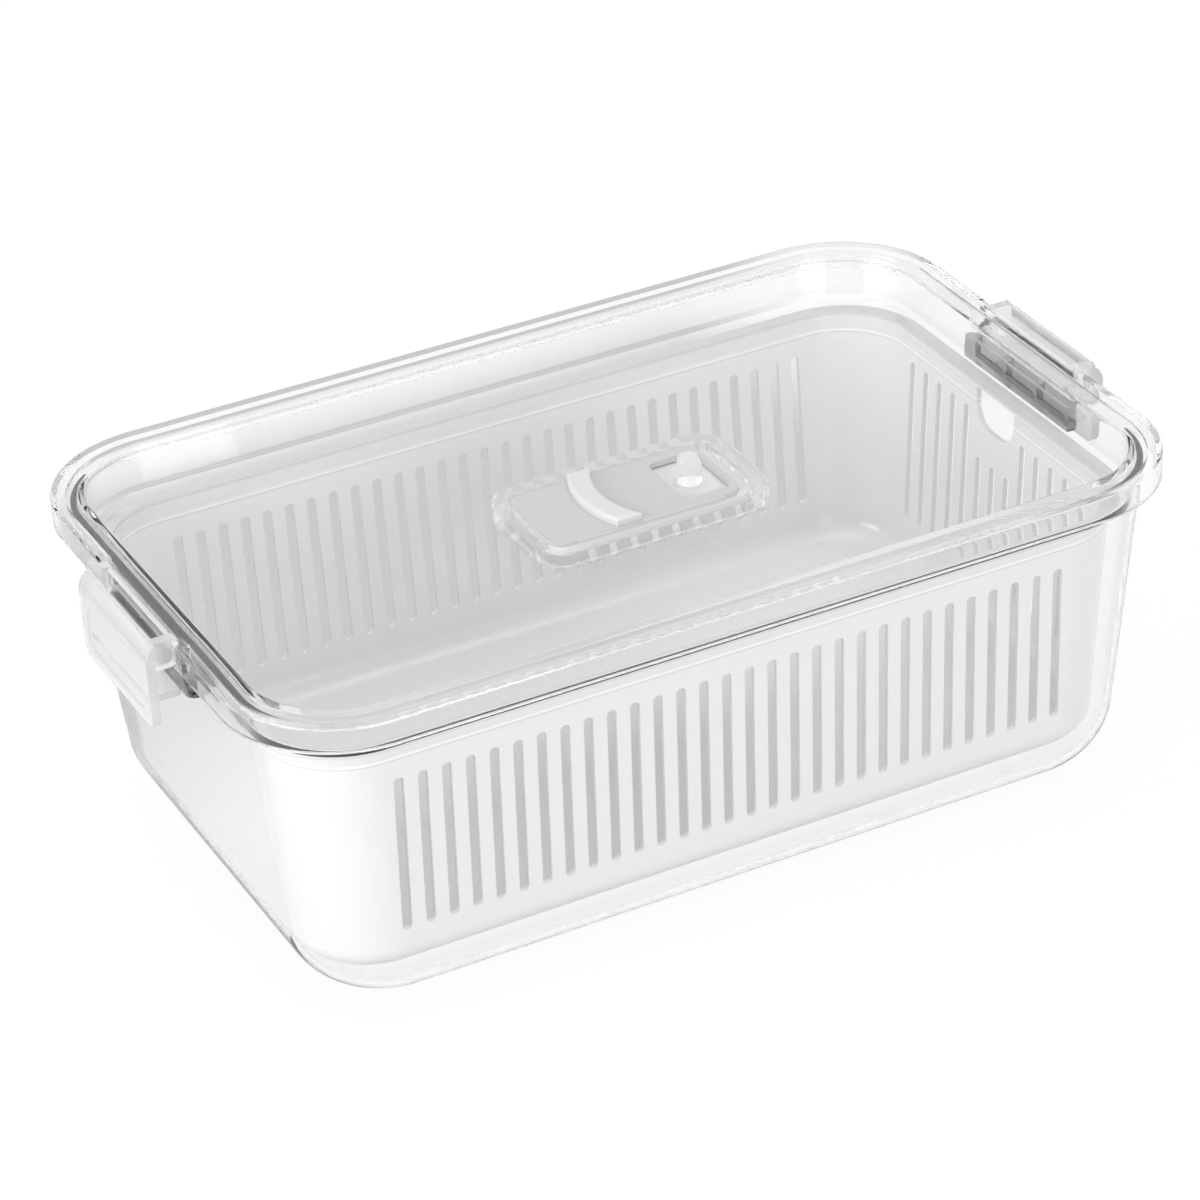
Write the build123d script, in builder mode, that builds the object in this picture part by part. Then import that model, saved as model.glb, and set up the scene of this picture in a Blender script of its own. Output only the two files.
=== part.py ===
from build123d import *
from math import tan, radians
import os

# An airtight keeper: a clear container, a drain basket inside it, a clear lid
# with a soft seal, two hinged latches and a sliding vent on the sunken panel.
# Millimetres. The origin is the middle of the container's underside,
# X runs along the length from latch to latch and Z points up.

os.makedirs("parts", exist_ok=True)

# overall size of the lid, which is the widest piece
lid_length = 300.0
lid_width = 192.5
lid_corner = 36.5
total_height = 107.3

# the clear plastic walls
wall = 1.9
end_draft_angle = 6.0
side_draft_angle = 3.3
floor_thickness = 2.2

# lid sections
lid_plate = 2.0
skirt_depth = 9.0
skirt_wall = 1.8
recess_inset = 10.0
recess_depth = 14.0
recess_wall = 1.7
recess_draft_angle = 3.45
panel_thickness = 1.8
lid_edge_round = 1.3
small_round = 0.5

# the container's lip, measured inward from the lid's outer face
lip_inset = 5.6
lip_corner = 31.5
lip_below_top = 4.2
base_corner = 29.0
base_round = 24.0

# the soft ring between lip and lid
seal_overhang_out = 1.2
seal_overhang_in = 0.5
seal_clearance = 0.1

# the drain basket
basket_gap_ends = 0.8
basket_gap_sides = 4.5
flange_width = 3.4
flange_thickness = 1.6
flange_below_top = 17.4
basket_wall = 1.7
basket_floor = 1.7
basket_end_draft_angle = 3.6
basket_side_draft_angle = 2.6
basket_corner = 25.0
basket_base_round = 10.0
sump_depth = 7.4
foot_radius = 4.0

# drain slots and finger holes in the basket's walls
slot_width = 3.1
slot_above_base = 14.9
slot_below_flange = 11.5
long_slot_count = 30
long_slot_pitch = 7.4
end_slot_pitch = 8.2
end_group_count = 5
end_middle_count = 3
end_slot_below_flange = 8.5
end_middle_drop = 15.0
finger_hole_width = 22.0
finger_hole_height = 12.5
finger_hole_round = 8.0

# catch lugs on the container's short ends
lug_length = 60.0
lug_height = 8.0
lug_reach = 2.0
lug_drop = 1.3
lug_end_round = 3.0
lug_rib = 1.6
lug_skin = 1.3
lug_pocket_depth = 2.4
lug_pocket_count = 3

# latches
latch_width = 51.0
latch_side_gap = 0.5
latch_reach = 7.8
latch_plate = 2.8
latch_drop = 28.3
latch_shoulder_round = 6.5
latch_tip_round = 1.3
latch_corner_round = 4.5
latch_arm_width = 3.5
latch_arm_height = 8.8
latch_arm_round = 2.0
hinge_inset = 1.2
hinge_radius = 1.3
pin_radius = 0.7
pin_clearance = 0.06
pin_length = 2.0
pin_hole_depth = 2.4
ear_length = 4.5
notch_clearance = 0.3
notch_wall = 1.4
hook_gap = 0.4
hook_thickness = 2.2
hook_overlap = 1.5
hook_length = 44.0
latch_inlay_depth = 0.4
latch_inlay_border = 4.5
latch_inlay_top = 8.0
latch_inlay_round = 4.0

# the vent, placed on the lid's sunken panel
vent_x = 5.0
vent_y = -6.3
vent_length = 78.0
vent_width = 44.0
vent_height = 6.0
vent_corner = 10.0
vent_floor = 1.2
vent_frame = 5.1
vent_edge_round = 0.7
slider_length = 63.0
slider_gap = 0.4
slider_thickness = 2.0
slider_corner = 5.0
slider_travel = 4.0
tongue_depth = 1.0
tongue_height = 1.2
tongue_gap = 0.25
pad_thickness = 2.0
pad_gap = 0.3
pocket_corner = 5.2
post_radius = 3.8
post_ring_radius = 5.0
post_ring_height = 2.2
post_height = 10.8
post_cap_round = 1.6
post_x = 24.8
window_length = 16.0
window_width = 25.0
window_corner = 3.0
grip_height = 2.5
grip_width = 7.2
grip_radius = 38.0
grip_round = 1.1
grip_span = 33.0
grip_x = -11.5
vent_hole_radius = 1.3

# heights and widths that follow from the values above
end_draft = tan(radians(end_draft_angle))
side_draft = tan(radians(side_draft_angle))
lip_height = total_height - lip_below_top
skirt_bottom = total_height - skirt_depth
panel_top = total_height - recess_depth
panel_bottom = panel_top - panel_thickness
lid_underside = total_height - lid_plate
lip_length = lid_length - 2 * lip_inset
lip_width = lid_width - 2 * lip_inset
base_length = lip_length - 2 * end_draft * lip_height
base_width = lip_width - 2 * side_draft * lip_height
recess_outer_inset = recess_inset - recess_wall
recess_corner = lip_corner - wall - (recess_outer_inset - lip_inset - wall)
flange_top = total_height - flange_below_top
flange_bottom = flange_top - flange_thickness
basket_bottom = floor_thickness + sump_depth
middle = lid_length / 2


def tub_outline(height, inset):
    """The tub's length, width and corner radius at a height, taken in by an inset."""
    share = height / lip_height
    length = base_length + (lip_length - base_length) * share
    width = base_width + (lip_width - base_width) * share
    corner = base_corner + (lip_corner - base_corner) * share
    return length - 2 * inset, width - 2 * inset, corner - inset


# the hollow of the container, one wall thickness inside its outer form
with BuildPart() as cavity:
    with BuildSketch(Plane.XY.offset(floor_thickness)):
        RectangleRounded(*tub_outline(floor_thickness, wall))
    with BuildSketch(Plane.XY.offset(total_height)):
        RectangleRounded(*tub_outline(total_height, wall))
    loft()
    fillet(cavity.faces().sort_by(Axis.Z)[0].edges(), base_round - wall)

# one catch lug with rounded ends, and pockets that leave thin ribs between them
lug_top = skirt_bottom - lug_drop
lug_bottom = lug_top - lug_height
lug_outer = middle - lug_reach
lug_inner = lip_length / 2 - wall
pocket_pitch = (lug_length - 2 * lug_end_round) / lug_pocket_count
with BuildPart() as lug:
    with BuildSketch(Plane.XY.offset(lug_bottom)) as lug_outline:
        with Locations(((lug_inner + lug_outer) / 2, 0)):
            Rectangle(lug_outer - lug_inner, lug_length)
        fillet(lug_outline.vertices().group_by(Axis.X)[-1], lug_end_round)
    extrude(amount=lug_height)
    with BuildSketch(Plane.YZ.offset(lug_outer)):
        with Locations((0, lug_bottom + lug_height / 2)):
            with GridLocations(pocket_pitch, 0, lug_pocket_count, 1):
                Rectangle(pocket_pitch - lug_rib, lug_height - 2 * lug_skin)
    extrude(amount=-lug_pocket_depth, mode=Mode.SUBTRACT)
    mirror(about=Plane.YZ)

# the container: a drafted tub with a large base round and the two lugs,
# cut back inside to the tub's hollow
with BuildPart() as container:
    with BuildSketch():
        RectangleRounded(*tub_outline(0, 0))
    with BuildSketch(Plane.XY.offset(lip_height)):
        RectangleRounded(*tub_outline(lip_height, 0))
    loft()
    fillet(container.faces().sort_by(Axis.Z)[0].edges(), base_round)
    add(lug)
    add(cavity, mode=Mode.SUBTRACT)
container.part.label = "container"
export_step(container.part, "parts/container.step")

# how wide the drain basket is at its flange and at its base
inner_length, inner_width = tub_outline(flange_top, wall)[:2]
flange_half_x = inner_length / 2 - basket_gap_ends
flange_half_y = inner_width / 2 - basket_gap_sides
basket_end_draft = tan(radians(basket_end_draft_angle))
basket_side_draft = tan(radians(basket_side_draft_angle))
basket_height = flange_top - basket_bottom
basket_base_x = flange_half_x - flange_width - basket_end_draft * basket_height
basket_base_y = flange_half_y - flange_width - basket_side_draft * basket_height


def basket_outline(height, inset):
    """The basket's length, width and corner radius at a height, taken in by an inset."""
    rise = height - basket_bottom
    length = 2 * (basket_base_x + basket_end_draft * rise)
    width = 2 * (basket_base_y + basket_side_draft * rise)
    return length - 2 * inset, width - 2 * inset, basket_corner - inset


# the hollow of the basket, open at the top
hollow_bottom = basket_bottom + basket_floor
with BuildPart() as basket_hollow:
    with BuildSketch(Plane.XY.offset(hollow_bottom)):
        RectangleRounded(*basket_outline(hollow_bottom, basket_wall))
    with BuildSketch(Plane.XY.offset(total_height)):
        RectangleRounded(*basket_outline(total_height, basket_wall))
    loft()
    fillet(basket_hollow.faces().sort_by(Axis.Z)[0].edges(), basket_base_round - basket_wall)

# all the openings cut through the basket's walls
slot_bottom = basket_bottom + slot_above_base
slot_top = flange_bottom - slot_below_flange
end_slot_top = flange_bottom - end_slot_below_flange
slot_length = slot_top - slot_bottom
slot_middle = (slot_top + slot_bottom) / 2
end_group_y = (end_group_count + end_middle_count) * end_slot_pitch / 2
end_slot_length = end_slot_top - slot_bottom
end_slot_middle = (end_slot_top + slot_bottom) / 2
end_middle_length = end_slot_length - end_middle_drop
finger_hole_middle = flange_bottom - finger_hole_height / 2
foot_x = basket_base_x - basket_corner
foot_y = basket_base_y - basket_corner
with BuildPart() as basket_openings:
    with BuildSketch(Plane.XZ):
        with Locations((0, slot_middle)):
            with GridLocations(long_slot_pitch, 0, long_slot_count, 1):
                SlotOverall(slot_length, slot_width, rotation=90)
    extrude(amount=lid_width / 2, both=True)
    with BuildSketch(Plane.YZ.offset(foot_x)):
        with Locations((-end_group_y, end_slot_middle), (end_group_y, end_slot_middle)):
            with GridLocations(end_slot_pitch, 0, end_group_count, 1):
                SlotOverall(end_slot_length, slot_width, rotation=90)
        with Locations((0, end_slot_middle - end_middle_drop / 2)):
            with GridLocations(end_slot_pitch, 0, end_middle_count, 1):
                SlotOverall(end_middle_length, slot_width, rotation=90)
    extrude(amount=middle - foot_x)
    with BuildSketch(Plane.YZ) as finger_outline:
        with Locations((0, finger_hole_middle)):
            Rectangle(finger_hole_width, finger_hole_height)
        fillet(finger_outline.vertices().group_by(Axis.Y)[0], finger_hole_round)
    extrude(amount=middle, both=True)

# the drain basket: a drafted tub on four feet, with a narrow flange
with BuildPart() as drain_basket:
    with BuildSketch(Plane.XY.offset(basket_bottom)):
        RectangleRounded(*basket_outline(basket_bottom, 0))
    with BuildSketch(Plane.XY.offset(flange_top)):
        RectangleRounded(*basket_outline(flange_top, 0))
    loft()
    fillet(drain_basket.faces().sort_by(Axis.Z)[0].edges(), basket_base_round)
    with BuildSketch(Plane.XY.offset(flange_bottom)):
        RectangleRounded(2 * flange_half_x, 2 * flange_half_y, basket_corner + flange_width)
    extrude(amount=flange_thickness)
    fillet(drain_basket.faces().sort_by(Axis.Z)[-1].edges(), small_round)
    add(basket_hollow, mode=Mode.SUBTRACT)
    add(basket_openings, mode=Mode.SUBTRACT)
    with BuildSketch(Plane.XY.offset(floor_thickness)):
        with GridLocations(2 * foot_x, 2 * foot_y, 2, 2):
            Circle(foot_radius)
    extrude(amount=sump_depth)
drain_basket.part.label = "drain_basket"
export_step(drain_basket.part, "parts/drain_basket.step")

# where the latches hinge and how far their notches cut into the lid
hinge_x = middle - hinge_inset
hinge_z = total_height - hinge_radius
notch_inset = hinge_inset + hinge_radius + notch_clearance
notch_length = latch_width + 2 * latch_side_gap
ear_inset = notch_inset + notch_wall

# the vent hole sits just inside the closed slider's left end
slider_left = vent_x - vent_length / 2 + vent_frame
vent_hole_x = slider_left + slider_gap + slider_travel / 2

# the hollow above the sunken panel
with BuildPart() as recess:
    with BuildSketch(Plane.XY.offset(total_height)):
        RectangleRounded(
            lid_length - 2 * recess_inset,
            lid_width - 2 * recess_inset,
            recess_corner - recess_wall,
        )
    extrude(amount=-recess_depth, taper=recess_draft_angle)

# the lid: a plate with an outer skirt, a sunken panel with its own wall,
# and at each short end a notch whose thickened ends carry the latch pins
with BuildPart() as lid:
    with BuildSketch(Plane.XY.offset(skirt_bottom)):
        RectangleRounded(lid_length, lid_width, lid_corner)
    extrude(amount=skirt_depth)
    fillet(lid.faces().sort_by(Axis.Z)[-1].edges(), lid_edge_round)
    with BuildSketch(Plane.XY.offset(skirt_bottom)):
        RectangleRounded(
            lid_length - 2 * skirt_wall,
            lid_width - 2 * skirt_wall,
            lid_corner - skirt_wall,
        )
    extrude(amount=skirt_depth - lid_plate, mode=Mode.SUBTRACT)
    with BuildSketch(Plane.XY.offset(skirt_bottom)):
        with GridLocations(lid_length - ear_inset, 0, 2, 1):
            Rectangle(ear_inset, notch_length + 2 * ear_length)
    extrude(amount=skirt_depth - lid_plate)
    with BuildSketch(Plane.XY.offset(total_height)):
        RectangleRounded(
            lid_length - 2 * recess_outer_inset,
            lid_width - 2 * recess_outer_inset,
            recess_corner,
        )
    extrude(amount=panel_bottom - total_height, taper=recess_draft_angle)
    add(recess, mode=Mode.SUBTRACT)
    with BuildSketch(Plane.XY.offset(skirt_bottom)):
        with GridLocations(lid_length - notch_inset, 0, 2, 1):
            Rectangle(notch_inset, notch_length)
    extrude(amount=skirt_depth, mode=Mode.SUBTRACT)
    with BuildSketch(Plane.XZ):
        with GridLocations(2 * hinge_x, 0, 2, 1):
            with Locations((0, hinge_z)):
                Circle(pin_radius + pin_clearance)
    extrude(amount=notch_length / 2 + pin_hole_depth, both=True, mode=Mode.SUBTRACT)
    with BuildSketch(Plane.XY.offset(panel_bottom)):
        with Locations((vent_hole_x, vent_y)):
            Circle(vent_hole_radius)
    extrude(amount=panel_thickness, mode=Mode.SUBTRACT)
lid.part.label = "lid"
export_step(lid.part, "parts/lid.step")

# the soft ring in the lid's underside channel, just above the lip
seal_corner = lip_corner + seal_overhang_out
with BuildPart() as lid_seal:
    with BuildSketch(Plane.XY.offset(lip_height + seal_clearance)):
        RectangleRounded(
            lip_length + 2 * seal_overhang_out,
            lip_width + 2 * seal_overhang_out,
            seal_corner,
        )
        RectangleRounded(
            lip_length - 2 * wall - 2 * seal_overhang_in,
            lip_width - 2 * wall - 2 * seal_overhang_in,
            lip_corner - wall - seal_overhang_in,
            mode=Mode.SUBTRACT,
        )
    extrude(amount=lid_underside - lip_height - seal_clearance)
lid_seal.part.label = "lid_seal"
export_step(lid_seal.part, "parts/lid_seal.step")

# the right latch: a plate that hangs outside the lid from a quarter round
# shoulder, an arm to the hinge at each end and a hook that reaches under the lug
plate_outer = middle + latch_reach
plate_inner = plate_outer - latch_plate
latch_bottom = total_height - latch_drop
hook_top = lug_bottom - hook_gap
hook_tip = lug_outer - hook_overlap
arm_bottom = total_height - 2 * hinge_radius
shoulder_inner = latch_shoulder_round - latch_plate
window_reach = plate_inner - latch_side_gap - hinge_x + hinge_radius
window_middle = hinge_x - hinge_radius + window_reach / 2
inlay_top = total_height - latch_inlay_top
inlay_bottom = latch_bottom + latch_inlay_border
with BuildPart() as latch_right:
    with BuildSketch(Plane.XZ) as latch_profile:
        with BuildLine():
            Polyline(
                (hinge_x, total_height),
                (plate_outer, total_height),
                (plate_outer, latch_bottom),
                (plate_inner, latch_bottom),
                (plate_inner, arm_bottom),
                (hinge_x, arm_bottom),
                close=True,
            )
        make_face()
        outer_corner = latch_profile.vertices().group_by(Axis.X)[-1].sort_by(Axis.Y)[-1]
        fillet(outer_corner, latch_shoulder_round)
        tip_corners = latch_profile.vertices().group_by(Axis.Y)[0]
        fillet(tip_corners, latch_tip_round)
        with Locations((hinge_x, hinge_z)):
            Circle(hinge_radius)
    extrude(amount=latch_width / 2, both=True)
    inner_edge = latch_right.edges().filter_by(Axis.Y).filter_by_position(
        Axis.X, plate_inner - small_round, plate_inner + small_round
    ).sort_by(Axis.Z)[-1]
    fillet(inner_edge, shoulder_inner)
    with BuildSketch(Plane.XZ) as arm_profile:
        with Locations(((hinge_x + plate_inner) / 2, total_height - latch_arm_height / 2)):
            Rectangle(plate_inner - hinge_x, latch_arm_height)
        arm_corners = arm_profile.vertices().group_by(Axis.X)[0].sort_by(Axis.Y)
        fillet(arm_corners[0], latch_arm_round)
    extrude(amount=latch_width / 2, both=True)
    with BuildSketch(Plane.XZ):
        with Locations((window_middle, total_height - latch_arm_height / 2)):
            Rectangle(window_reach, latch_arm_height)
    extrude(amount=latch_width / 2 - latch_arm_width, both=True, mode=Mode.SUBTRACT)
    with BuildSketch(Plane.XY.offset(hook_top - hook_thickness)) as hook_outline:
        with Locations(((hook_tip + plate_outer - small_round) / 2, 0)):
            Rectangle(plate_outer - small_round - hook_tip, hook_length)
        fillet(hook_outline.vertices().group_by(Axis.X)[0], hook_thickness)
    extrude(amount=hook_thickness)
    with BuildSketch(Plane.YZ) as front_outline:
        with Locations((0, (latch_bottom + total_height) / 2)):
            Rectangle(latch_width, latch_drop)
        fillet(front_outline.vertices().group_by(Axis.Y)[0], latch_corner_round)
    extrude(amount=plate_outer, mode=Mode.INTERSECT)
    with BuildSketch(Plane.YZ.offset(plate_outer)) as inlay_outline:
        with Locations((0, (inlay_top + inlay_bottom) / 2)):
            RectangleRounded(
                latch_width - 2 * latch_inlay_border,
                inlay_top - inlay_bottom,
                latch_inlay_round,
            )
    extrude(amount=-latch_inlay_depth, mode=Mode.SUBTRACT)
    with BuildSketch(Plane.XZ):
        with Locations((hinge_x, hinge_z)):
            Circle(pin_radius)
    extrude(amount=latch_width / 2 + pin_length, both=True)
latch_right.part.label = "latch_right"
export_step(latch_right.part, "parts/latch_right.step")

with BuildPart() as latch_left:
    add(latch_right)
    mirror(about=Plane.YZ, mode=Mode.REPLACE)
latch_left.part.label = "latch_left"
export_step(latch_left.part, "parts/latch_left.step")

# the vent frame: a rounded block with a pocket, and a groove along each side
# of the pocket for the slider's tongues
pocket_floor = panel_top + vent_floor
pocket_length = vent_length - 2 * vent_frame
pocket_width = vent_width - 2 * vent_frame
pad_top = pocket_floor + pad_thickness
slider_bottom = pad_top + pad_gap
slider_top = slider_bottom + slider_thickness
tongue_middle = slider_bottom + slider_thickness / 2
with BuildPart() as vent_housing:
    with BuildSketch(Plane.XY.offset(panel_top)):
        with Locations((vent_x, vent_y)):
            RectangleRounded(vent_length, vent_width, vent_corner)
    extrude(amount=vent_height)
    fillet(vent_housing.faces().sort_by(Axis.Z)[-1].edges(), vent_edge_round)
    with BuildSketch(Plane.XY.offset(pocket_floor)):
        with Locations((vent_x, vent_y)):
            RectangleRounded(pocket_length, pocket_width, pocket_corner)
    extrude(amount=vent_height, mode=Mode.SUBTRACT)
    with BuildSketch(Plane.XY.offset(tongue_middle - tongue_height / 2 - tongue_gap)):
        with Locations((vent_x, vent_y)):
            Rectangle(
                pocket_length - 2 * pocket_corner,
                pocket_width + 2 * tongue_depth + 2 * tongue_gap,
            )
    extrude(amount=tongue_height + 2 * tongue_gap, mode=Mode.SUBTRACT)
    with BuildSketch(Plane.XY.offset(panel_top)):
        with Locations((vent_hole_x, vent_y)):
            Circle(vent_hole_radius)
    extrude(amount=vent_floor, mode=Mode.SUBTRACT)
vent_housing.part.label = "vent_housing"
export_step(vent_housing.part, "parts/vent_housing.step")

# the soft pad on the pocket's floor, with holes for the vent and the post
with BuildPart() as vent_seal:
    with BuildSketch(Plane.XY.offset(pocket_floor)):
        with Locations((vent_x, vent_y)):
            RectangleRounded(
                pocket_length - 2 * pad_gap,
                pocket_width - 2 * pad_gap,
                pocket_corner - pad_gap,
            )
        with Locations((vent_hole_x, vent_y)):
            Circle(vent_hole_radius, mode=Mode.SUBTRACT)
        with Locations((post_x, vent_y)):
            Circle(post_ring_radius + pad_gap, mode=Mode.SUBTRACT)
    extrude(amount=pad_thickness)
vent_seal.part.label = "vent_seal"
export_step(vent_seal.part, "parts/vent_seal.step")

# the fixed post with its base ring and a rounded cap
with BuildPart() as vent_post:
    with BuildSketch(Plane.XY.offset(pocket_floor)):
        with Locations((post_x, vent_y)):
            Circle(post_ring_radius)
    extrude(amount=post_ring_height)
    fillet(vent_post.faces().sort_by(Axis.Z)[-1].edges(), small_round)
    with BuildSketch(Plane.XY.offset(pocket_floor)):
        with Locations((post_x, vent_y)):
            Circle(post_radius)
    extrude(amount=post_height)
    fillet(vent_post.faces().sort_by(Axis.Z)[-1].edges(), post_cap_round)
vent_post.part.label = "vent_post"
export_step(vent_post.part, "parts/vent_post.step")

# the slider: a plate with side tongues, a window round the post and a raised
# crescent to push with a finger
slider_middle = slider_left + slider_gap + slider_length / 2
slider_width = pocket_width - 2 * slider_gap
with BuildPart() as vent_slider:
    with BuildSketch(Plane.XY.offset(slider_bottom)):
        with Locations((slider_middle, vent_y)):
            RectangleRounded(slider_length, slider_width, slider_corner)
        with Locations((post_x, vent_y)):
            RectangleRounded(window_length, window_width, window_corner, mode=Mode.SUBTRACT)
    extrude(amount=slider_thickness)
    with BuildSketch(Plane.XY.offset(tongue_middle - tongue_height / 2)):
        with Locations((slider_middle, vent_y)):
            with GridLocations(0, slider_width, 1, 2):
                Rectangle(slider_length - 2 * slider_corner - slider_travel, 2 * tongue_depth)
    extrude(amount=tongue_height)
    with BuildSketch(Plane.XY.offset(slider_top)) as grip_outline:
        with Locations((grip_x + grip_radius, vent_y)):
            Circle(grip_radius)
            Circle(grip_radius - grip_width, mode=Mode.SUBTRACT)
        with Locations((grip_x + grip_radius / 2, vent_y)):
            Rectangle(grip_radius, grip_span, mode=Mode.INTERSECT)
    extrude(amount=grip_height)
    fillet(vent_slider.faces().sort_by(Axis.Z)[-1].edges(), grip_round)
vent_slider.part.label = "vent_slider"
export_step(vent_slider.part, "parts/vent_slider.step")
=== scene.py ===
# %% [markdown]
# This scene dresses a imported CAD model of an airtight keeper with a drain
# basket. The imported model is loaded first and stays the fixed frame. Every
# piece made here lies in the same metres as the CAD solids.

# %% Load the frame
from math import cos, radians, sin

import bmesh
import bpy
import numpy as np
from mathutils import Matrix, Vector


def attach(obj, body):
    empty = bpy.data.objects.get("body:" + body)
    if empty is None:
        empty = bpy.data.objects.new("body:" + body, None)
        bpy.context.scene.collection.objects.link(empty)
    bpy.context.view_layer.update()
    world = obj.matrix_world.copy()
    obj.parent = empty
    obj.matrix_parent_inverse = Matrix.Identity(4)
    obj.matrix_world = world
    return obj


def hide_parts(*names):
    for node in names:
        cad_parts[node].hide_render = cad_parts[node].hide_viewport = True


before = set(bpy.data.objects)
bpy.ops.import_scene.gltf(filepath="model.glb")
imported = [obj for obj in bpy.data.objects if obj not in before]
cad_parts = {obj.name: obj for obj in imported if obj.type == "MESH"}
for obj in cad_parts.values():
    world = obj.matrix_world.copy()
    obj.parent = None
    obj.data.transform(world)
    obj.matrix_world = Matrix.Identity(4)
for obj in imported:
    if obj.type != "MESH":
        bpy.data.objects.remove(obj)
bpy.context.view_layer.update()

# %% [markdown]
# The photograph was taken from in front and to the left, about thirty degrees
# above the table, with a long lens. The values below come from a fit of the
# lid's and the basket's edges to the photograph.

# %% Set the camera
aim_point = (0.0, 0.0, 0.05)
sensor_width = 36.0


def place_camera(yaw, pitch, roll, distance, slide_right, slide_up, focal):
    """The back direction is (sin yaw cos pitch, -cos yaw cos pitch, sin pitch).
    Right and up are square to it and turned by the roll. The camera sits at the
    aim point plus back times distance, less the two sideways slides."""
    back = Vector((sin(yaw) * cos(pitch), -cos(yaw) * cos(pitch), sin(pitch)))
    level_right = Vector((cos(yaw), sin(yaw), 0.0))
    level_up = back.cross(level_right)
    right = cos(roll) * level_right + sin(roll) * level_up
    up = cos(roll) * level_up - sin(roll) * level_right
    place = Vector(aim_point) + back * distance - right * slide_right - up * slide_up
    turn = Matrix((right, up, back)).transposed().to_4x4()
    data = bpy.data.cameras.new("photo_camera")
    data.lens = focal
    data.sensor_width = sensor_width
    data.clip_start = 0.05
    data.clip_end = 50.0
    camera = bpy.data.objects.new("photo_camera", data)
    camera.matrix_world = Matrix.Translation(place) @ turn
    bpy.context.scene.collection.objects.link(camera)
    bpy.context.scene.camera = camera
    return camera


photo_pixels = 1200
pixels_focal = 4647.55
camera_distance = 1.40282
photo_camera = place_camera(
    yaw=radians(-25.62),
    pitch=radians(30.47),
    roll=radians(-3.36),
    distance=camera_distance,
    slide_right=13.68 * camera_distance / pixels_focal,
    slide_up=-28.75 * camera_distance / pixels_focal,
    focal=pixels_focal / photo_pixels * sensor_width,
)
print("camera at", [round(v, 3) for v in photo_camera.matrix_world.translation])

# %% [markdown]
# The object is shown on plain white. A large pale floor fills the whole view,
# because the camera looks down. Rays that come straight from the camera, or
# through the clear plastic, see the floor nearly white, and a part of the
# ordinary shading stays in so that the floor keeps a soft shadow.

# %% Make the floor
def new_material(name):
    """A material with an empty node tree and an output, and its links."""
    material = bpy.data.materials.new(name)
    material.use_nodes = True
    tree = material.node_tree
    tree.nodes.clear()
    output = tree.nodes.new("ShaderNodeOutputMaterial")
    return material, tree, output


def math_node(tree, operation, first, second):
    """One math node that joins two sockets or numbers."""
    node = tree.nodes.new("ShaderNodeMath")
    node.operation = operation
    for socket, value in zip(node.inputs, (first, second)):
        if isinstance(value, (int, float)):
            socket.default_value = value
        else:
            tree.links.new(value, socket)
    return node.outputs[0]


def range_node(tree, value, start, stop, low, high):
    """Maps a value from start and stop onto low and high, held at both ends."""
    node = tree.nodes.new("ShaderNodeMapRange")
    for label, number in (("From Min", start), ("From Max", stop),
                          ("To Min", low), ("To Max", high)):
        node.inputs[label].default_value = number
    tree.links.new(value, node.inputs["Value"])
    return node.outputs["Result"]


def object_axes(tree):
    """The X, Y and Z outputs of the Object coordinates."""
    coords = tree.nodes.new("ShaderNodeTexCoord")
    parts = tree.nodes.new("ShaderNodeSeparateXYZ")
    tree.links.new(coords.outputs["Object"], parts.inputs[0])
    return parts.outputs


def mirrored_ray(tree, rays):
    """One on a ray that a polished surface mirrors. A ray bent by clear plastic
    counts as glossy too, so that it is taken off again."""
    difference = math_node(tree, "SUBTRACT", rays["Is Glossy Ray"], rays["Is Transmission Ray"])
    return math_node(tree, "MAXIMUM", difference, 0.0)


def mix_shaders(tree, share, first, second):
    """Blends two shaders by a share."""
    mix = tree.nodes.new("ShaderNodeMixShader")
    for socket, value in zip(mix.inputs, (share, first, second)):
        tree.links.new(value, socket)
    return mix.outputs[0]


def shade_behind(tree):
    """One in the strip of floor just behind the container, fading out softly on
    every side, on Object coordinates."""
    axes = object_axes(tree)
    near = range_node(tree, axes["Y"], 0.03, 0.1, 0.0, 1.0)
    far = range_node(tree, axes["Y"], 0.22, 0.275, 1.0, 0.0)
    aside = range_node(tree, axes["X"], 0.15, 0.19, 1.0, 0.0)
    return math_node(tree, "MULTIPLY", math_node(tree, "MULTIPLY", near, far), aside)


def floor_material(grey, glow_share, bright, shaded, mirrored):
    """A diffuse grey, mixed by glow_share with a glow for camera and clear
    rays. The glow is bright, or shaded where the slots show the floor behind
    the container. A mirrored ray gets one dimmer glow, which doesn't veil the
    polished walls."""
    material, tree, output = new_material("studio_floor")
    rays = tree.nodes.new("ShaderNodeLightPath").outputs
    diffuse = tree.nodes.new("ShaderNodeBsdfDiffuse")
    diffuse.inputs["Color"].default_value = (grey, grey, grey, 1)
    glow = tree.nodes.new("ShaderNodeEmission")
    shade = math_node(tree, "MULTIPLY", shade_behind(tree), rays["Is Transmission Ray"])
    tree.links.new(range_node(tree, shade, 0.0, 1.0, bright, shaded), glow.inputs["Strength"])
    seen = math_node(tree, "MAXIMUM", rays["Is Camera Ray"], rays["Is Transmission Ray"])
    share = math_node(tree, "MULTIPLY", seen, glow_share)
    lit = mix_shaders(tree, share, diffuse.outputs[0], glow.outputs[0])
    dim = tree.nodes.new("ShaderNodeEmission")
    dim.inputs["Strength"].default_value = mirrored
    tree.links.new(mix_shaders(tree, mirrored_ray(tree, rays), lit, dim.outputs[0]),
                   output.inputs["Surface"])
    return material


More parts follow.
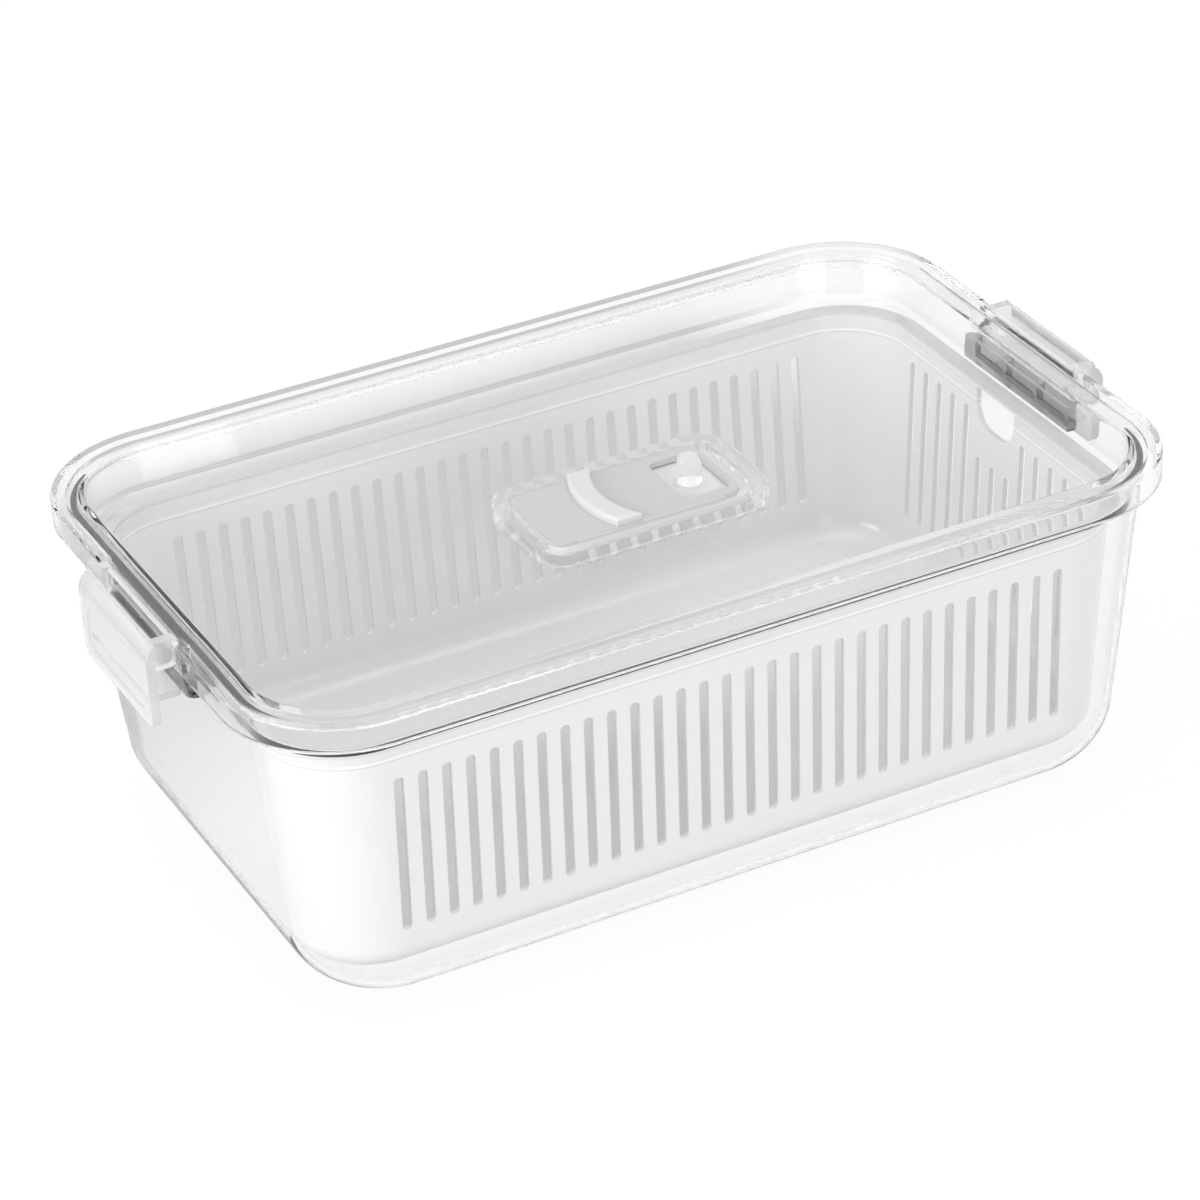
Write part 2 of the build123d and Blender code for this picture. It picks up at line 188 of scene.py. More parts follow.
floor_half = 6.0
floor_mesh = bpy.data.meshes.new("floor")
floor_mesh.from_pydata(
    [(-floor_half, -floor_half, 0), (floor_half, -floor_half, 0),
     (floor_half, floor_half, 0), (-floor_half, floor_half, 0)],
    [], [(0, 1, 2, 3)],
)
floor_object = bpy.data.objects.new("floor", floor_mesh)
floor_object.data.materials.append(
    floor_material(grey=0.65, glow_share=0.88, bright=1.05, shaded=0.55, mirrored=0.8)
)
bpy.context.scene.collection.objects.link(floor_object)
print("floor is", 2 * floor_half, "m wide")

# %% [markdown]
# The light is soft. A large lamp stands to the left, so that the basket's left
# end is the brightest wall, a second one stands in front, a broad one hangs
# overhead, and the pale room fills the rest. The room is a little darker than
# the floor, because clear plastic shows its edges only where it bends the view
# towards something darker.

# %% Set the lamps and the room
def soft_lamp(name, place, size, watts):
    """A square area lamp at place that points at the aim point."""
    data = bpy.data.lights.new(name, "AREA")
    data.shape = "SQUARE"
    data.size = size
    data.energy = watts
    lamp = bpy.data.objects.new(name, data)
    direction = Vector(aim_point) - Vector(place)
    turn = direction.to_track_quat("-Z", "Y").to_matrix().to_4x4()
    lamp.matrix_world = Matrix.Translation(place) @ turn
    bpy.context.scene.collection.objects.link(lamp)


soft_lamp("left_lamp", (-1.8, -0.2, 0.4), size=1.2, watts=23.0)
soft_lamp("top_lamp", (0.1, 0.4, 1.8), size=1.6, watts=10.0)
soft_lamp("front_lamp", (0.1, -2.1, 0.6), size=1.2, watts=17.0)


def make_room(glow, mirrored, through):
    """A plain pale room. Its strength is one number for soft light, one for
    what polished surfaces mirror and one for what is seen through plastic."""
    world = bpy.data.worlds.new("pale_room")
    world.use_nodes = True
    tree = world.node_tree
    room = tree.nodes["Background"]
    room.inputs["Color"].default_value = (1.0, 1.0, 1.0, 1)
    rays = tree.nodes.new("ShaderNodeLightPath").outputs
    shine = math_node(tree, "MULTIPLY", mirrored_ray(tree, rays), mirrored - glow)
    clear = math_node(tree, "MULTIPLY", rays["Is Transmission Ray"], through - glow)
    extra = math_node(tree, "ADD", shine, clear)
    tree.links.new(math_node(tree, "ADD", extra, glow), room.inputs["Strength"])
    bpy.context.scene.world = world


make_room(glow=0.68, mirrored=0.95, through=0.92)
bpy.context.scene.view_settings.view_transform = "Standard"

# %% [markdown]
# Nearly every moulded piece here is a section line carried round a rounded
# rectangle. So the helpers come first: they round the corners of a section,
# walk round the rectangle, carry the section along and make the mesh from the
# grid of points.

# %% Helpers for sections, paths and skins
millimetre = 0.001


def round_corners(points, radii, steps=6, closed=False):
    """Rounds each corner of a line by a true arc. The arc from A to B past the
    corner P is ((1-s)^2 A + 2ws(1-s) P + s^2 B) / ((1-s)^2 + 2ws(1-s) + s^2),
    where A and B lie on the two sides, radius over tan of half the inside
    angle away from P, and w is the sine of half the inside angle."""
    p = np.asarray(points, float)
    r = np.asarray(radii, float)[:, None]
    before = np.roll(p, 1, axis=0) - p
    after = np.roll(p, -1, axis=0) - p
    before /= np.maximum(np.linalg.norm(before, axis=1, keepdims=True), 1e-12)
    after /= np.maximum(np.linalg.norm(after, axis=1, keepdims=True), 1e-12)
    inside = np.arccos(np.clip((before * after).sum(1, keepdims=True), -1, 1))
    reach = r / np.tan(np.maximum(inside, 1e-6) / 2)
    w = np.sin(inside / 2)[:, None]
    s = np.linspace(0, 1, steps + 1)[None, :, None]
    a = (p + before * reach)[:, None]
    b = (p + after * reach)[:, None]
    weight = (1 - s) ** 2 + 2 * w * s * (1 - s) + s ** 2
    arcs = ((1 - s) ** 2 * a + 2 * w * s * (1 - s) * p[:, None] + s ** 2 * b) / weight
    line = arcs.reshape(-1, 2)
    if not closed:
        line = line[steps:-steps]
    step = np.linalg.norm(np.diff(line, axis=0, prepend=line[-1:]), axis=1)
    keep = step > 1e-7
    keep[0] = True
    return line[keep]


def box_path(half_x, half_y, steps=20, end_stops=()):
    """The walk round a rectangle with corners at (half_x, half_y). It gives
    base points and the outward direction at each. At a corner the base stays
    and the direction turns by a quarter circle. End stops add base points on
    the two short sides at those Y places."""
    angles = np.linspace(0, np.pi / 2, steps + 1)
    signs = np.array([(1, 1), (-1, 1), (-1, -1), (1, -1)], float)
    turn = angles[None, :] + np.arange(4)[:, None] * np.pi / 2
    out = np.stack([np.cos(turn), np.sin(turn)], axis=-1)
    base = np.repeat((signs * (half_x, half_y))[:, None], steps + 1, axis=1)
    stops = np.sort(np.asarray(end_stops, float))
    right = np.stack([np.full_like(stops, half_x), stops], axis=1)
    left = np.stack([np.full_like(stops, -half_x), stops[::-1]], axis=1)
    east = np.tile((1.0, 0.0), (len(stops), 1))
    bases = np.vstack([base[0], base[1], left, base[2], base[3], right])
    outs = np.vstack([out[0], out[1], -east, out[2], out[3], east])
    return bases, outs


def carry(section, path):
    """Carries a section of (reach, height) round a path. The point is the base
    plus the outward direction times the reach, at the section's height."""
    base, out = path
    flat = base[:, None] + out[:, None] * section[None, :, :1]
    height = np.broadcast_to(section[None, :, 1:], flat.shape[:2] + (1,))
    return np.concatenate([flat, height], axis=2)


def skin(name, grid, place=(0, 0, 0), closed_section=False):
    """Makes a closed mesh from a grid of points in millimetres that is closed
    along its first direction. An open section gets a flat cap at each end. The
    faces are turned over where the signed volume comes out negative."""
    n, m = grid.shape[:2]
    points = (grid.reshape(-1, 3) + np.asarray(place, float)) * millimetre
    i = np.arange(n)[:, None]
    j = np.arange(m if closed_section else m - 1)[None, :]
    i2, j2 = (i + 1) % n, (j + 1) % m
    quads = np.stack(np.broadcast_arrays(i * m + j, i2 * m + j, i2 * m + j2, i * m + j2), -1)
    quads = quads.reshape(-1, 4)
    a, b, c, d = (points[quads[:, k]] for k in range(4))
    volume = np.einsum("ij,ij->i", a, np.cross(b, c)).sum()
    volume += np.einsum("ij,ij->i", a, np.cross(c, d)).sum()
    faces = quads.tolist()
    if not closed_section:
        first = list(range(0, n * m, m))[::-1]
        last = list(range(m - 1, n * m, m))
        for loop in (first, last):
            ring = points[loop]
            volume += np.einsum("ij,ij->i", ring[:1].repeat(n - 2, 0),
                                np.cross(ring[1:-1], ring[2:])).sum()
        faces += [first, last]
    if volume < 0:
        faces = [f[::-1] for f in faces]
    mesh = bpy.data.meshes.new(name)
    mesh.from_pydata(points.tolist(), [], faces)
    mesh.shade_smooth()
    mesh.set_sharp_from_angle(angle=radians(40))
    mesh.update()
    piece = bpy.data.objects.new(name, mesh)
    bpy.context.scene.collection.objects.link(piece)
    print(f"{name}: {len(faces)} faces, {abs(volume) / 6 * 1e6:.1f} cubic cm")
    return piece


def smooth_step(x, low, high):
    """Zero below low, one above high, and a soft S between."""
    t = np.clip((x - low) / (high - low), 0, 1)
    return t * t * (3 - 2 * t)


print("sections are drawn in units of", millimetre, "m")

# %% [markdown]
# Two finishes cover almost everything: clear polished plastic and white or
# grey moulded plastic. Both have the faint waviness of a moulded surface, so
# that bump is one shared group.

# %% Shared group for moulded waviness
def mould_group():
    """Gives a normal with broad waves from one noise and fine grain from
    another, and a mask of the fine one, all on Object coordinates."""
    group = bpy.data.node_groups.new("moulded_surface", "ShaderNodeTree")
    group.interface.new_socket("Vector", in_out="INPUT", socket_type="NodeSocketVector")
    group.interface.new_socket("Strength", in_out="INPUT", socket_type="NodeSocketFloat")
    group.interface.new_socket("Normal", in_out="OUTPUT", socket_type="NodeSocketVector")
    group.interface.new_socket("Mask", in_out="OUTPUT", socket_type="NodeSocketFloat")
    nodes, links = group.nodes, group.links
    start = nodes.new("NodeGroupInput")
    end = nodes.new("NodeGroupOutput")
    waves = nodes.new("ShaderNodeTexNoise")
    grain = nodes.new("ShaderNodeTexNoise")
    broad = nodes.new("ShaderNodeBump")
    fine = nodes.new("ShaderNodeBump")
    for noise, bump, scale, detail, height in ((waves, broad, 18.0, 1.0, 0.001),
                                               (grain, fine, 900.0, 2.0, 0.00004)):
        noise.inputs["Scale"].default_value = scale
        noise.inputs["Detail"].default_value = detail
        bump.inputs["Distance"].default_value = height
        links.new(start.outputs["Vector"], noise.inputs["Vector"])
        links.new(start.outputs["Strength"], bump.inputs["Strength"])
        links.new(noise.outputs["Fac"], bump.inputs["Height"])
    links.new(broad.outputs["Normal"], fine.inputs["Normal"])
    links.new(fine.outputs["Normal"], end.inputs["Normal"])
    links.new(grain.outputs["Fac"], end.inputs["Mask"])
    return group


moulded = mould_group()


def add_moulding(tree, strength):
    """Places the group in a material on Object coordinates."""
    coords = tree.nodes.new("ShaderNodeTexCoord")
    node = tree.nodes.new("ShaderNodeGroup")
    node.node_tree = moulded
    node.inputs["Strength"].default_value = strength
    tree.links.new(coords.outputs["Object"], node.inputs["Vector"])
    return node


def mix_greys(tree, mask, dark, light):
    """Blends two greys by a mask. A grey is a number, or a socket to link."""
    node = tree.nodes.new("ShaderNodeMix")
    node.data_type = "RGBA"
    for socket, grey in ((node.inputs[6], dark), (node.inputs[7], light)):
        if isinstance(grey, float):
            socket.default_value = (grey, grey, grey, 1)
        else:
            tree.links.new(grey, socket)
    tree.links.new(mask, node.inputs[0])
    return node.outputs[2]


print("shared group:", moulded.name)

# %% [markdown]
# Clear plastic is a refracting body under a polished coat. It bends light only
# a little, and darkens where the surface turns away from the eye, which draws
# the thin grey outlines of moulded edges. Light from a lamp would need many
# samples to find its way through it, so shadow rays and the soft light between
# the white walls pass straight.

# %% Clear plastic
def clear_material(name, dark, light, edge, waviness, passes, roughness=0.0, clarity=1.0,
                   bend=1.15, polish=0.5):
    """Principled glass under a coat, swapped for a transparency of the grey
    passes on shadow rays and diffuse rays. The body's grey lies between dark
    and light, and edge comes in by the eighth power of the facing value."""
    material, tree, output = new_material(name)
    glass = tree.nodes.new("ShaderNodeBsdfPrincipled")
    glass.inputs["Transmission Weight"].default_value = clarity
    glass.inputs["IOR"].default_value = bend
    glass.inputs["Roughness"].default_value = roughness
    glass.inputs["Coat Weight"].default_value = polish
    glass.inputs["Coat Roughness"].default_value = 0.0
    mould = add_moulding(tree, waviness)
    body = mix_greys(tree, mould.outputs["Mask"], dark, light)
    facing = tree.nodes.new("ShaderNodeLayerWeight")
    facing.inputs["Blend"].default_value = 0.5
    turned_away = math_node(tree, "POWER", facing.outputs["Facing"], 8.0)
    tree.links.new(mix_greys(tree, turned_away, body, edge), glass.inputs["Base Color"])
    tree.links.new(mould.outputs["Normal"], glass.inputs["Coat Normal"])
    see_through = tree.nodes.new("ShaderNodeBsdfTransparent")
    see_through.inputs["Color"].default_value = (passes, passes, passes, 1)
    rays = tree.nodes.new("ShaderNodeLightPath").outputs
    unseen = math_node(tree, "MAXIMUM", rays["Is Shadow Ray"], rays["Is Diffuse Ray"])
    tree.links.new(mix_shaders(tree, unseen, glass.outputs[0], see_through.outputs[0]),
                   output.inputs["Surface"])
    return material


clear_plastic = clear_material("clear_plastic", 0.98, 0.992, edge=0.5, waviness=0.005, passes=0.97)
frame_plastic = clear_material("frame_plastic", 0.97, 0.98, edge=0.4, waviness=0.005, passes=0.97,
                               clarity=0.95, bend=1.08, polish=1.0)
# The lugs get a dark grey body: painted shade for the dark pockets seen behind the latches.
lug_plastic = clear_material("lug_plastic", 0.4, 0.46, edge=0.2, waviness=0.02, passes=0.9,
                             roughness=0.05)
latch_plastic = clear_material("latch_plastic", 0.91, 0.94, edge=0.3, waviness=0.05, passes=0.9,
                               roughness=0.08, clarity=0.7, bend=1.3)
seal_silicone = clear_material("seal_silicone", 0.93, 0.97, edge=0.6, waviness=0.01, passes=0.9,
                               bend=1.1)
print("clear materials end with", seal_silicone.name)

# %% [markdown]
# The basket is white moulded plastic, the vent's slider a pale grey one and its
# pad a matt white. They are opaque, with a soft sheen. The basket's colour also
# carries painted light and shade: a few fine light and dark lines on its flange,
# which are painted highlight and painted shade for a step and for the shade under
# the lid, and painted shade that darkens its floor towards the front. The slider's
# raised crescent is lighter than its plate. So a colour can follow one coordinate.

# %% White and grey plastic
def opaque_material(name, dark, light, rough_low, rough_high, waviness, polish=0.0):
    """Opaque plastic whose grey and roughness shift a little with the grain."""
    material, tree, output = new_material(name)
    plastic = tree.nodes.new("ShaderNodeBsdfPrincipled")
    mould = add_moulding(tree, waviness)
    mask = mould.outputs["Mask"]
    tree.links.new(mix_greys(tree, mask, dark, light), plastic.inputs["Base Color"])
    tree.links.new(range_node(tree, mask, 0.0, 1.0, rough_low, rough_high),
                   plastic.inputs["Roughness"])
    tree.links.new(mould.outputs["Normal"], plastic.inputs["Normal"])
    plastic.inputs["Coat Weight"].default_value = polish
    plastic.inputs["Coat Roughness"].default_value = 0.05
    tree.links.new(plastic.outputs[0], output.inputs["Surface"])
    return material


def shade_by_place(material, axis, steps, top=1.0):
    """Multiplies a material's colour by a share that depends on one Object
    coordinate. steps lists places along the axis with the share that holds
    there, and between them it runs straight. Over 3 mm above the height top
    the share goes back to one."""
    tree = material.node_tree
    plastic = tree.nodes["Principled BSDF"]
    source = plastic.inputs["Base Color"].links[0].from_socket
    axes = object_axes(tree)
    share = steps[0][1]
    for (low, before), (high, after) in zip(steps, steps[1:]):
        factor = range_node(tree, axes[axis], low, high, 1.0, after / before)
        share = math_node(tree, "MULTIPLY", share, factor)
    low_down = range_node(tree, axes["Z"], top, top + 0.003, 1.0, 0.0)
    change = math_node(tree, "MULTIPLY", math_node(tree, "SUBTRACT", share, 1.0), low_down)
    share = math_node(tree, "ADD", change, 1.0)
    product = tree.nodes.new("ShaderNodeVectorMath")
    product.operation = "SCALE"
    tree.links.new(source, product.inputs[0])
    tree.links.new(share, product.inputs["Scale"])
    tree.links.new(product.outputs[0], plastic.inputs["Base Color"])


basket_white = opaque_material("basket_white", 0.8, 0.84, 0.16, 0.26, 0.06, polish=0.6)
# Painted light and shade on the basket: a thin dark line and a thin light line stand for the
# shadow and the highlight of a step, and the flange top above them is darkened as painted shade
# under the lid.
flange_painted_light_and_shade = [(0.0826, 1.0), (0.0829, 0.86), (0.0832, 0.86), (0.0834, 1.14),
                (0.084, 1.14), (0.0842, 0.96), (0.0886, 0.96), (0.0894, 0.8)]
# Painted shade on the basket floor: 0.8 at the front, where the front wall shades it, rising to
# 1.08 towards the back.
basket_floor_painted_shade = [(-0.01, 0.8), (0.045, 1.08)]
basket_floor_limit = 0.013
shade_by_place(basket_white, "Z", flange_painted_light_and_shade)
shade_by_place(basket_white, "Y", basket_floor_painted_shade, top=basket_floor_limit)
pad_white = opaque_material("pad_white", 0.7, 0.74, 0.4, 0.5, 0.05)
vent_grey = opaque_material("vent_grey", 0.53, 0.57, 0.3, 0.45, 0.12)
slider_face, crescent_rise = 0.0988, 0.0006
shade_by_place(vent_grey, "Z", [(slider_face, 1.0), (slider_face + crescent_rise, 1.22)])
print("materials:", [m.name for m in bpy.data.materials])

# %% [markdown]
# The container is one moulded tub. Its ends lean in more than its sides, so
# the length, the width and the corner's radius each follow their own straight
# line in height. A section of insets from that drafted wall makes the large
# base curve, the lip and the inside.

# %% Container
half_length, half_width = 150.0, 96.25
wall = 1.9
lip_inset = 5.6
lip_reach = 31.5
lip_height = 103.1
end_draft, side_draft = np.tan(radians(6.0)), np.tan(radians(3.3))
foot_corner = 29.0
floor_top = 2.2
base_round, lip_round = 24.0, 0.8
corner_steps = 24


def tub_size(z):
    """Half length, half width and corner radius at a height, each a straight
    line from its value at the foot to its value at the lip."""
    below = lip_height - z
    corner = foot_corner + (lip_reach - foot_corner) * z / lip_height
    return (half_length - lip_inset - end_draft * below,
            half_width - lip_inset - side_draft * below, corner)


def base_inset(z, level, radius, inset, which):
    """How far the base round lies inside the drafted outer wall. The round is
    a circle that touches the floor at its level and the wall at its inset. Its
    middle is one radius above the floor, and one radius over the cosine of the
    draft in from the wall at that height."""
    slope = (end_draft, side_draft)[which]
    middle = tub_size(level + radius)[which] - inset - radius * np.sqrt(1 + slope ** 2)
    rise = np.clip(level + radius - z, 0, radius)
    curve = middle + np.sqrt(radius ** 2 - rise ** 2)
    return np.where(rise > 0, np.maximum(tub_size(z)[which] - curve, inset), inset)


def tub_grid():
    """Rows of heights and insets: out over the floor's underside, up the base
    round and the wall, over the lip by two small quarter circles, and back
    down inside. The point is the corner's middle plus the outward direction
    times the corner radius less the inset. The inset is the ends' one times
    the direction's X squared, plus the sides' one times its Y squared."""
    signs, out = box_path(1.0, 1.0, corner_steps)
    turn = np.linspace(0, np.pi / 2, 22)
    z_out = base_round * (1 - np.cos(turn))
    z_in = floor_top + (base_round - wall) * (1 - np.cos(turn))
    lip_turn = np.linspace(0, np.pi / 2, 6)
    z_wall = np.linspace(base_round + 4, lip_height - 2, 14)
    z_lip = lip_height - lip_round + lip_round * np.sin(lip_turn)
    roll = lip_round * (1 - np.cos(lip_turn))
    z = np.concatenate([z_out, z_wall, z_lip, z_lip[::-1], z_wall[::-1], z_in[::-1]])
    insets = []
    for which in (0, 1):
        outer = base_inset(z_out, 0.0, base_round, 0.0, which)
        inner = base_inset(z_in, floor_top, base_round - wall, wall, which)
        insets.append(np.concatenate([outer, 0 * z_wall, roll, wall - roll[::-1],
                                      0 * z_wall + wall, inner[::-1]]))
    half_x, half_y, corner = tub_size(z)
    middle = signs[:, None] * np.stack([half_x - corner, half_y - corner], axis=-1)[None]
    inset = out[:, :1] ** 2 * insets[0][None] + out[:, 1:] ** 2 * insets[1][None]
    flat = middle + out[:, None] * (corner[None] - inset)[:, :, None]
    height = np.broadcast_to(z[None, :, None], flat.shape[:2] + (1,))
    return np.concatenate([flat, height], axis=2)


container_tub = skin("container_tub", tub_grid())

# %% [markdown]
# Under each latch the tub has a catch lug: a short bar with three pockets, so
# that only thin ribs and a lower edge stand out. It is a field of depths over
# its length and height, with a back that follows the wall.

# %% Catch lugs
lug_half, lug_low, lug_high, lug_face = 30.0, 89.0, 97.0, 148.0
lug_round, lug_edge_round = 3.0, 0.5
pocket_depth, pocket_span = 2.4, 54.0
pocket_pitch = pocket_span / 3
seat_gap, least_depth = 0.06, 0.3


def quarter_drop(radius, over):
    """How far a quarter circle has fallen at a distance over its start."""
    return radius - np.sqrt(np.maximum(radius ** 2 - over ** 2, 0))


def lug_grid(side):
    """The depth X over a grid of Y and Z. It is the lug's face, less the pocket
    depth inside each pocket, and it rounds off towards both ends and both
    edges by a quarter circle. The back sheet lies just off the tub's wall."""
    ends = lug_half - lug_round + lug_round * np.sin(np.linspace(0, np.pi / 2, 7))
    rib_marks = np.array([8.0, 8.2, 8.5, 9.3, 9.6, 9.8])
    y = np.unique(np.concatenate([-ends, -rib_marks, rib_marks, ends,
                                  np.linspace(-26, 26, 27)]))
    edge_rows = np.array([0, 0.15, 0.5, 1.2, 1.5])
    z = np.concatenate([lug_low + edge_rows, np.linspace(lug_low + 2, lug_high - 2, 5),
                        (lug_high - edge_rows)[::-1]])
    yy, zz = np.meshgrid(y, z, indexing="ij")
    place = (yy + pocket_span / 2) % pocket_pitch
    from_rib = pocket_pitch / 2 - np.abs(place - pocket_pitch / 2)
    pocket = smooth_step(from_rib, 0.7, 1.0) * (np.abs(yy) < 26.2)
    pocket *= smooth_step(zz, lug_low + 1.2, lug_low + 1.5)
    pocket *= 1 - smooth_step(zz, lug_high - 1.5, lug_high - 1.2)
    edge = np.minimum(zz - lug_low, lug_high - zz)
    over_edge = lug_edge_round - np.minimum(edge, lug_edge_round)
    over_end = np.clip(np.abs(yy) - (lug_half - lug_round), 0, lug_round)
    rounds = quarter_drop(lug_edge_round, over_edge) + quarter_drop(lug_round, over_end)
    back = tub_size(zz)[0] + seat_gap
    front = np.maximum(lug_face - pocket_depth * pocket - rounds, back + least_depth)
    ring = np.concatenate([front, back[:, ::-1]], axis=1)
    heights = np.concatenate([zz, zz[:, ::-1]], axis=1)
    widths = np.concatenate([yy, yy[:, ::-1]], axis=1)
    return np.stack([side * ring, widths, heights], axis=-1).transpose(1, 0, 2)


lugs = [skin(f"catch_lug_{word}", lug_grid(side)) for word, side in (("left", -1), ("right", 1))]

# %% [markdown]
# The basket's walls are pierced by slots, which the CAD solid holds exactly.
# So the basket is a copy of that node: its loose triangles are merged, the
# surface is shaded smooth, and only real edges are kept sharp.

# %% Drain basket
def merged_copy(node, name, soft=0.0005):
    """Copies a CAD node's mesh, merges the points, smooths the shading where
    the faces meet at under thirty degrees and bevels the edges over fifty by
    a width called soft."""
    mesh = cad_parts[node].data.copy()
    mesh.name = name
    work = bmesh.new()
    work.from_mesh(mesh)
    bmesh.ops.remove_doubles(work, verts=work.verts, dist=1e-6)
    bmesh.ops.dissolve_limit(work, angle_limit=radians(0.05), verts=work.verts,
                             edges=work.edges)
    work.to_mesh(mesh)
    work.free()
    mesh.materials.clear()
    mesh.shade_smooth()
    mesh.set_sharp_from_angle(angle=radians(30))
    piece = bpy.data.objects.new(name, mesh)
    bpy.context.scene.collection.objects.link(piece)
    soft_edge = piece.modifiers.new("soft_edges", "BEVEL")
    soft_edge.width = soft
    soft_edge.segments = 2
    soft_edge.limit_method = "ANGLE"
    soft_edge.angle_limit = radians(50)
    weighted = piece.modifiers.new("even_normals", "WEIGHTED_NORMAL")
    weighted.keep_sharp = True
    print(f"{name}: {len(mesh.polygons)} faces")
    return piece


basket_piece = merged_copy("drain_basket", "basket_tub", soft=0.0008)

# %% [markdown]
# The lid is one sheet as well. Its section runs from the middle of the sunken
# panel up the recess wall, over the rim, down the skirt, back up inside it and
# down the far side of the recess wall. At each short end the skirt steps back
# for the latch, so there the section is pressed inward.

# %% Lid
corner_x = half_length - lip_inset - lip_reach
corner_y = half_width - lip_inset - lip_reach
rim_reach = half_length - corner_x
lid_top = 107.3
panel_z = lid_top - 14.0
panel_wall, roof_wall, skirt_wall = 1.8, 2.0, 1.8
skirt_depth = 9.0
recess_inset, recess_draft = 10.0, 0.84
channel_inset = 8.3
cap_reach = 0.4
lid_section = round_corners(
    [(cap_reach, panel_z), (rim_reach - recess_inset - recess_draft, panel_z),
     (rim_reach - recess_inset, lid_top), (rim_reach, lid_top),
     (rim_reach, lid_top - skirt_depth), (rim_reach - skirt_wall, lid_top - skirt_depth),
     (rim_reach - skirt_wall, lid_top - roof_wall),
     (rim_reach - channel_inset, lid_top - roof_wall),
     (rim_reach - channel_inset - recess_draft, panel_z - panel_wall),
     (cap_reach, panel_z - panel_wall)],
    [0, 1.4, 1.4, 1.6, 0.6, 0.4, 0.5, 0.5, 1.6, 0], steps=7,
)
notch_half, notch_depth, notch_inner = 26.0, 2.8, 4.2
ear_half = 30.5
notch_blend, ear_blend = 0.5, 0.1
notch_marks = notch_half + np.array([-0.5, -0.35, -0.15, 0.0, 0.15, 0.35, 0.5])
ear_marks = ear_half + np.array([-ear_blend, ear_blend])
end_marks = np.concatenate([notch_marks, ear_marks, [12.0]])
lid_path = box_path(corner_x, corner_y, corner_steps,
                    end_stops=np.concatenate([-end_marks, [0.0], end_marks]))


def lid_grid():
    """The carried section, with the reach changed near the short ends. With
    the notch's depth d and its inner wall at w, the change maps the inset from
    the rim through (0, skirt wall, channel) to (d, w, channel) in the notch,
    and to (0, w, channel) just beside it."""
    base, out = lid_path
    grid = carry(lid_section, lid_path)
    across = np.abs(base[:, 1])
    at_end = np.abs(out[:, 0]) > 0.999
    notch = 1 - smooth_step(across, notch_half - notch_blend, notch_half + notch_blend)
    ear = 1 - smooth_step(across, ear_half - ear_blend, ear_half + ear_blend)
    inset = rim_reach - lid_section[:, 0]
    middle = 60.0
    places = (0.0, skirt_wall, channel_inset, middle)
    in_notch = np.interp(inset, places, (notch_depth, notch_inner, channel_inset, middle))
    in_ear = np.interp(inset, places, (0.0, notch_inner, channel_inset, middle))
    push = ((in_ear - inset)[None] * (ear * at_end)[:, None]
            + (in_notch - in_ear)[None] * (notch * at_end)[:, None])
    grid[:, :, :2] -= out[:, None] * push[:, :, None]
    return grid


lid_piece = skin("lid_shell", lid_grid())

# %% [markdown]
# The seal is a soft ring that lies in the channel under the rim, right above
# the container's lip.

# %% Lid seal
seal_reach = lip_reach + 1.2
seal_inner = lip_reach - wall - 0.5
seal_low, seal_high = lip_height + 0.15, lid_top - 2.2
seal_section = round_corners(
    [(seal_reach, seal_low), (seal_reach, seal_high), (seal_inner, seal_high),
     (seal_inner, seal_low)],
    [0.5, 0.2, 0.2, 0.5], steps=4, closed=True,
)
seal_path = box_path(corner_x, corner_y, corner_steps)
seal_piece = skin("seal_ring", carry(seal_section, seal_path), closed_section=True)

# %% [markdown]
# Each latch is a plate that hangs from two short arms, with an open window
# between them. The CAD solid has all of that shape, so it is copied the same
# way as the basket, and its edges get the same small rounds.

# %% Latches
latch_pieces = {word: merged_copy(f"latch_{word}", f"{word}_clip") for word in ("left", "right")}

# %% [markdown]
# The vent sits on the sunken panel: a clear frame with a pocket, a soft pad in
# it, a grey slider with a window and a finger crescent, and a fixed post.

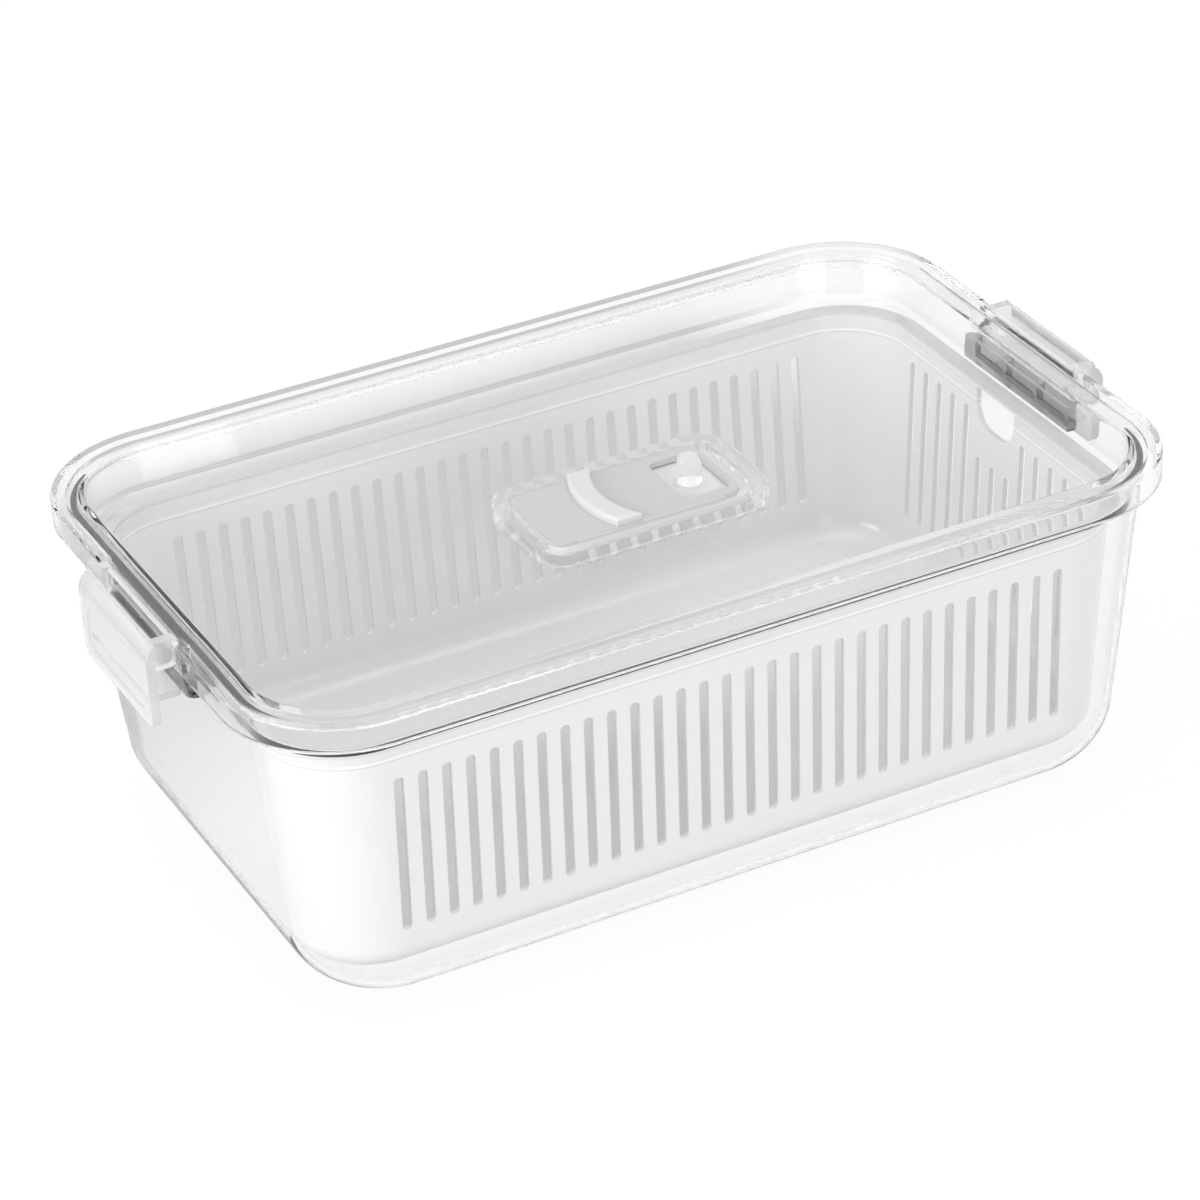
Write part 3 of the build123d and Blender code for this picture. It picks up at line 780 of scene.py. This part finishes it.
# %% Vent frame, pad and post
vent_middle = (5.0, -6.3)
vent_path = box_path(29.0, 12.0, steps=12)
frame_reach, frame_inner, frame_height, pocket_floor = 10.0, 4.9, 6.0, 1.2
frame_section = round_corners(
    [(cap_reach, 0), (frame_reach, 0), (frame_reach, frame_height),
     (frame_inner, frame_height), (frame_inner, pocket_floor), (cap_reach, pocket_floor)],
    [0, 0.4, 0.9, 0.6, 0.4, 0], steps=6,
)
vent_frame = skin("vent_frame", carry(frame_section, vent_path),
                  (*vent_middle, panel_z + seat_gap))
pad_reach, pad_low, pad_high = 4.6, 1.32, 3.2
pad_section = round_corners(
    [(cap_reach, pad_low), (pad_reach, pad_low), (pad_reach, pad_high), (cap_reach, pad_high)],
    [0, 0.3, 0.4, 0], steps=4,
)
vent_pad = skin("vent_pad", carry(pad_section, vent_path), (*vent_middle, panel_z))


def turned_path(steps=48):
    """A path of one base point and directions all round, for turned shapes."""
    angles = np.linspace(0, 2 * np.pi, steps, endpoint=False)
    return np.zeros((steps, 2)), np.stack([np.cos(angles), np.sin(angles)], axis=-1)


post_place = (24.8, vent_middle[1], panel_z)
post_core, post_reach, post_collar = 0.05, 3.8, 5.0
post_low, collar_top, post_top = 3.22, 3.4, 12.0
post_section = round_corners(
    [(post_core, post_low), (post_collar, post_low), (post_collar, collar_top),
     (post_reach, collar_top), (post_reach, post_top), (post_core, post_top)],
    [0, 0.05, 0.08, 0.3, 1.6, 0], steps=6,
)
vent_post = skin("post_turned", carry(post_section, turned_path()), post_place)

# %% [markdown]
# The slider, a plate with one window and a finger crescent, is copied too.

# %% Vent slider
slider_piece = merged_copy("vent_slider", "slider_plate")

# %% [markdown]
# Every piece gets its finish, rides on its body and stands for its CAD node.

# %% Finish and fasten every piece
def dress(piece, material, body, node):
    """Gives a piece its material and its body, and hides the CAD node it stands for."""
    piece.data.materials.clear()
    piece.data.materials.append(material)
    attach(piece, body)
    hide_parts(node)


dress(container_tub, clear_plastic, "container", "container")
for lug_piece in lugs:
    dress(lug_piece, lug_plastic, "container", "container")
dress(basket_piece, basket_white, "basket", "drain_basket")
dress(lid_piece, clear_plastic, "lid", "lid")
dress(seal_piece, seal_silicone, "lid", "lid_seal")
dress(latch_pieces["left"], latch_plastic, "left_latch", "latch_left")
dress(latch_pieces["right"], latch_plastic, "right_latch", "latch_right")
dress(vent_frame, frame_plastic, "lid", "vent_housing")
dress(vent_pad, pad_white, "lid", "vent_seal")
dress(vent_post, clear_plastic, "lid", "vent_post")
dress(slider_piece, vent_grey, "slider", "vent_slider")
